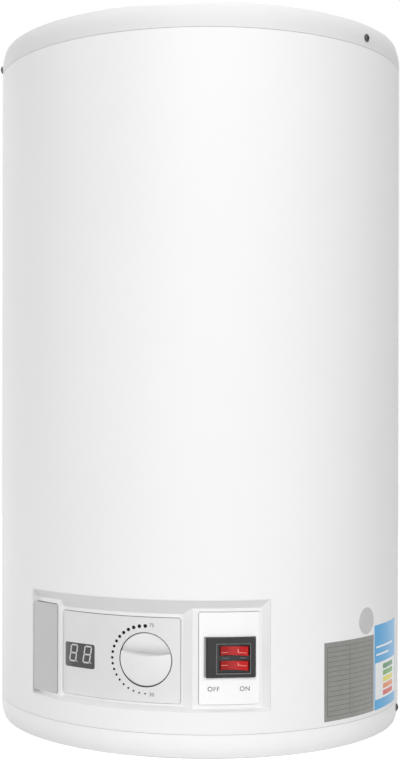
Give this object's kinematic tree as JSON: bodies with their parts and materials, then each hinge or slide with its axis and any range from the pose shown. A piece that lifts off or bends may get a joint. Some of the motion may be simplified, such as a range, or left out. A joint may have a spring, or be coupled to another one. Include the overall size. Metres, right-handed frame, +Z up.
{
  "type": "storage water heater",
  "caption": "Wall-hung cylindrical electric storage water heater with a recessed control panel, temperature knob, display, rocker switches and pipe connections below.",
  "frame": {"origin": "centre of the wall bracket's pattern of slots, on the face of the bracket that lies on the wall", "axes": "+Z up along the heater's length, +Y into the wall, -Y to the front with the control panel, +X to the right of someone who faces the heater"},
  "size_m": [0.4548, 0.47, 0.771],
  "materials": {
    "shell_paint": "satin",
    "cover_plastic": "satin",
    "bezel_plastic": "satin",
    "strip_grey": "satin",
    "fascia_grey": "satin",
    "plate_white": "satin",
    "display_dark": "gloss",
    "black_plastic": "satin",
    "knob_plastic": "satin",
    "red_plastic": "gloss",
    "blue_plastic": "gloss",
    "insulator_white": "satin",
    "board_green": "satin",
    "dark_steel": "satin",
    "zinc_steel": "satin",
    "bracket_steel": "satin",
    "tank_steel": "satin",
    "copper": "satin",
    "brass": "satin",
    "magnesium": "matte",
    "gasket_rubber": "matte",
    "foam": "matte"
  },
  "bodies": {
    "casing": {"anode_nut": "zinc_steel", "bezel_nuts": "zinc_steel", "bezel_studs": "zinc_steel", "bottom_cover": "cover_plastic", "bottom_cover_screws": "dark_steel", "bracket_nuts": "zinc_steel", "bracket_spacers": "zinc_steel", "bracket_studs": "zinc_steel", "cable_gland": "black_plastic", "cold_inlet_diffuser": "insulator_white", "cold_inlet_pipe": "zinc_steel", "cold_pipe_ring": "blue_plastic", "control_bezel": "bezel_plastic", "display_board": "board_green", "display_module": "black_plastic", "display_screws": "zinc_steel", "display_window": "display_dark", "earth_screw": "brass", "element_insulators": "insulator_white", "element_terminals": "brass", "fascia_plate": "fascia_grey", "flange_cover": "zinc_steel", "flange_gasket": "gasket_rubber", "flange_neck": "tank_steel", "flange_nuts": "zinc_steel", "flange_studs": "zinc_steel", "gland_nut": "black_plastic", "heating_element_left": "copper", "heating_element_right": "copper", "hot_outlet_pipe": "zinc_steel", "hot_outlet_tube": "zinc_steel", "hot_pipe_ring": "red_plastic", "insulation_foam": "foam", "lower_wall_spacer": "cover_plastic", "magnesium_anode": "magnesium", "outer_shell": "shell_paint", "safety_cutout": "black_plastic", "switch_housing": "black_plastic", "switch_plate": "plate_white", "switch_terminals": "brass", "tank_barrel": "tank_steel", "tank_bottom_dome": "tank_steel", "tank_top_dome": "tank_steel", "terminal_block": "insulator_white", "terminal_screws": "brass", "thermostat_body": "black_plastic", "thermostat_bulb": "copper", "thermostat_capillary": "copper", "thermostat_screws": "zinc_steel", "thermowell": "copper", "top_cover": "cover_plastic", "top_cover_screws": "dark_steel", "trim_strip": "strip_grey", "wall_bracket": "bracket_steel"},
    "knob": {"temperature_knob": "knob_plastic", "thermostat_spindle": "brass"},
    "upper_rocker": {"rocker_upper": "red_plastic"},
    "lower_rocker": {"rocker_lower": "red_plastic"},
    "reset": {"reset_button": "red_plastic"}
  },
  "joints": [
    {"name": "knob_turn", "type": "hinge", "parent": "casing", "child": "knob", "pos_m": [0.00758, -0.46217, -0.505], "axis": [0.0349, -0.9994, 0], "range_deg": [-90, 90]},
    {"name": "upper_rocker_tilt", "type": "hinge", "parent": "casing", "child": "upper_rocker", "pos_m": [0.09366, -0.44466, -0.49325], "axis": [0, 0, 1], "range_deg": [0, 20]},
    {"name": "lower_rocker_tilt", "type": "hinge", "parent": "casing", "child": "lower_rocker", "pos_m": [0.09366, -0.44466, -0.50755], "axis": [0, 0, 1], "range_deg": [0, 20]},
    {"name": "reset_press", "type": "slide", "parent": "casing", "child": "reset", "axis": [0, 0, 1], "range_m": [0, 0.0025], "stiffness_N_per_m": 400, "springref_m": -0.001}
  ]
}
